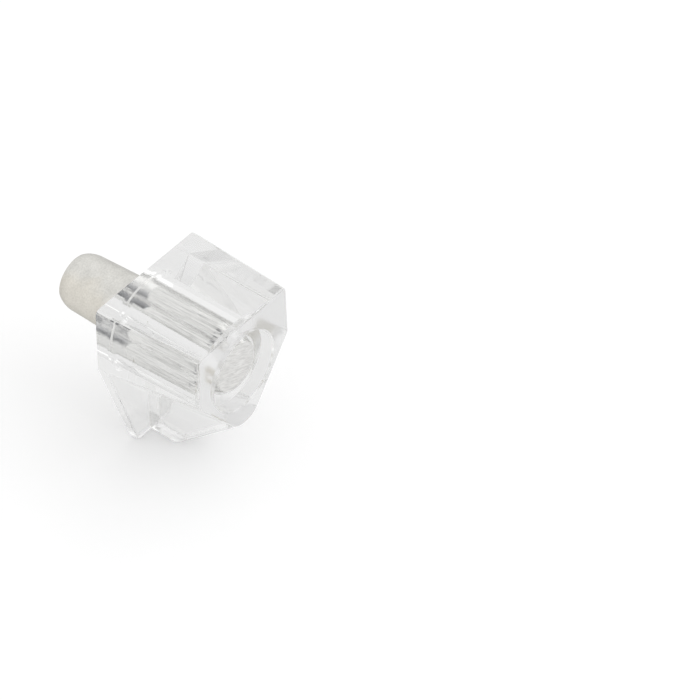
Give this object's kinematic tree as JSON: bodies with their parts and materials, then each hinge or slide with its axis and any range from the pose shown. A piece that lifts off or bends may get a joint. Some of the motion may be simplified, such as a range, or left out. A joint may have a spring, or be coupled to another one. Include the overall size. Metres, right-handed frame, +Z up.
{
  "type": "shelf support pin",
  "caption": "Clear moulded shelf support with a tapered block, a wall plate and a web, on a plated steel pin that fits a drilled hole in a cabinet side.",
  "frame": {"origin": "on the pin's axis, in the plane of the wall face", "axes": "+Y along the pin towards its free end, into the cabinet side; +Z up, out of the shelf face; +X across the width"},
  "size_m": [0.0116, 0.0166, 0.0155],
  "materials": {
    "clear_plastic": "clear, glossy, faintly cool grey",
    "plated_steel": "satin nickel-coloured plating, faintly warm"
  },
  "bodies": {
    "root": {"support_body": "clear_plastic", "steel_pin": "plated_steel"}
  },
  "joints": []
}
